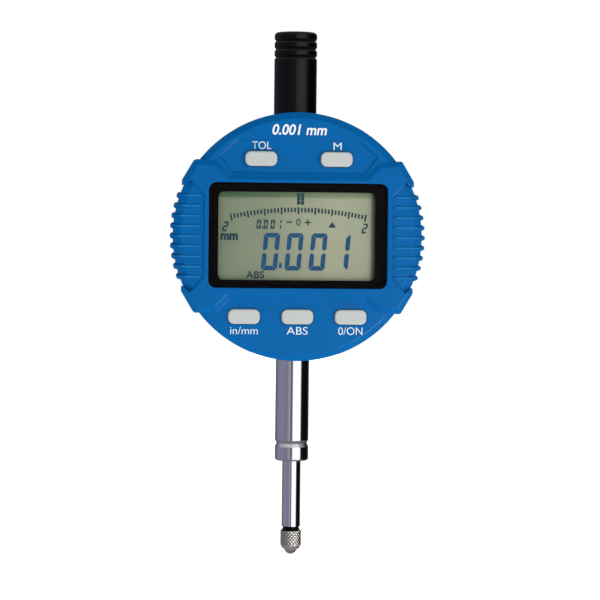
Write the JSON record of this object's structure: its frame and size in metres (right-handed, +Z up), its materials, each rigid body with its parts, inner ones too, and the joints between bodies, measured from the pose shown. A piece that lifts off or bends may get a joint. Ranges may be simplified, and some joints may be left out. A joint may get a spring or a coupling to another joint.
{
  "type": "digital dial indicator",
  "caption": "Digital dial indicator with a round blue turning face, LCD window, push buttons, capped top, ground stem and sprung spindle with a knurled contact point.",
  "frame": {"origin": "on the spindle axis, in the plane where the 8 mm stem leaves the boss of the housing", "axes": "+X to the right of the face, +Y from the face to the back, +Z up along the spindle, towards the cap"},
  "size_m": [0.0594, 0.0322, 0.1243],
  "materials": {
    "cover_blue": "satin moulded",
    "housing_plastic": "satin moulded",
    "lens": "clear, polished",
    "mask": "printed black",
    "lcd": "grey-green, matt",
    "holder": "moulded white",
    "zebra": "matt",
    "board": "green solder mask",
    "chip": "moulded epoxy",
    "switch": "moulded",
    "small_screw": "zinc plated",
    "button": "satin moulded",
    "ring": "moulded",
    "seal": "matt",
    "stem_chrome": "ground and plated",
    "bush": "bored",
    "guide_steel": "turned",
    "spindle_steel": "hardened and ground",
    "contact_steel": "nickel plated, knurled",
    "carbide": "lapped hard metal",
    "cap_black": "satin moulded",
    "carrier": "milled",
    "scale": "etched copper film",
    "spring": "drawn wire",
    "ribbon": "amber film",
    "cell": "plated can",
    "contact_strip": "plated spring strip",
    "lug_metal": "cast, dark anodised",
    "socket": "moulded"
  },
  "bodies": {
    "housing": {"rear_housing": "housing_plastic", "stem": "stem_chrome", "lower_bush": "bush", "upper_guide": "guide_steel", "upper_bush": "bush", "top_cap": "cap_black", "guide_rail": "carrier", "spring_post_fixed": "small_screw", "stop_bumper": "seal", "reader_board": "board", "reader_screws": "small_screw", "reader_chips": "chip", "flex_ribbon": "ribbon", "battery": "cell", "battery_contact_negative": "contact_strip", "battery_contact_positive": "contact_strip", "back_cover": "lug_metal", "back_screws": "small_screw", "data_socket": "socket", "port_plug": "seal", "face_o_ring": "seal", "return_spring": "spring"},
    "face": {"front_cover": "cover_blue", "window_lens": "lens", "window_mask": "mask", "lcd_panel": "lcd", "lcd_holder": "holder", "zebra_strips": "zebra", "main_board": "board", "board_chips": "chip", "tact_switches": "switch", "board_screws": "small_screw", "face_ring": "ring"},
    "plunger": {"spindle": "spindle_steel", "contact_point": "contact_steel", "contact_ball": "carbide", "scale_carrier": "carrier", "carrier_screws": "small_screw", "scale_strip": "scale", "guide_pin": "spindle_steel", "spring_post_moving": "small_screw"},
    "battery_lid": {"battery_cover": "housing_plastic", "battery_seal": "seal"},
    "key_tol": {"button_tol": "button"},
    "key_mode": {"button_mode": "button"},
    "key_unit": {"button_unit": "button"},
    "key_abs": {"button_abs": "button"},
    "key_zero": {"button_zero": "button"}
  },
  "joints": [
    {"name": "spindle_slide", "type": "slide", "parent": "housing", "child": "plunger", "axis": [0, 0, 1], "range_m": [0, 0.0127], "stiffness_N_per_m": 30, "springref_m": -0.04, "deforming": ["return_spring"]},
    {"name": "face_turn", "type": "hinge", "parent": "housing", "child": "face", "pos_m": [0, -0.009, 0.029], "axis": [0, 1, 0], "range_deg": [-165, 165]},
    {"name": "battery_lid_turn", "type": "hinge", "parent": "housing", "child": "battery_lid", "pos_m": [0.0164, 0.0072, 0.025], "axis": [0, 1, 0], "range_deg": [0, 60]},
    {"name": "key_tol_press", "type": "slide", "parent": "face", "child": "key_tol", "axis": [0, 1, 0], "range_m": [0, 0.0004], "stiffness_N_per_m": 20, "springref_m": -0.01},
    {"name": "key_mode_press", "type": "slide", "parent": "face", "child": "key_mode", "axis": [0, 1, 0], "range_m": [0, 0.0004], "stiffness_N_per_m": 20, "springref_m": -0.01},
    {"name": "key_unit_press", "type": "slide", "parent": "face", "child": "key_unit", "axis": [0, 1, 0], "range_m": [0, 0.0004], "stiffness_N_per_m": 20, "springref_m": -0.01},
    {"name": "key_abs_press", "type": "slide", "parent": "face", "child": "key_abs", "axis": [0, 1, 0], "range_m": [0, 0.0004], "stiffness_N_per_m": 20, "springref_m": -0.01},
    {"name": "key_zero_press", "type": "slide", "parent": "face", "child": "key_zero", "axis": [0, 1, 0], "range_m": [0, 0.0004], "stiffness_N_per_m": 20, "springref_m": -0.01}
  ]
}
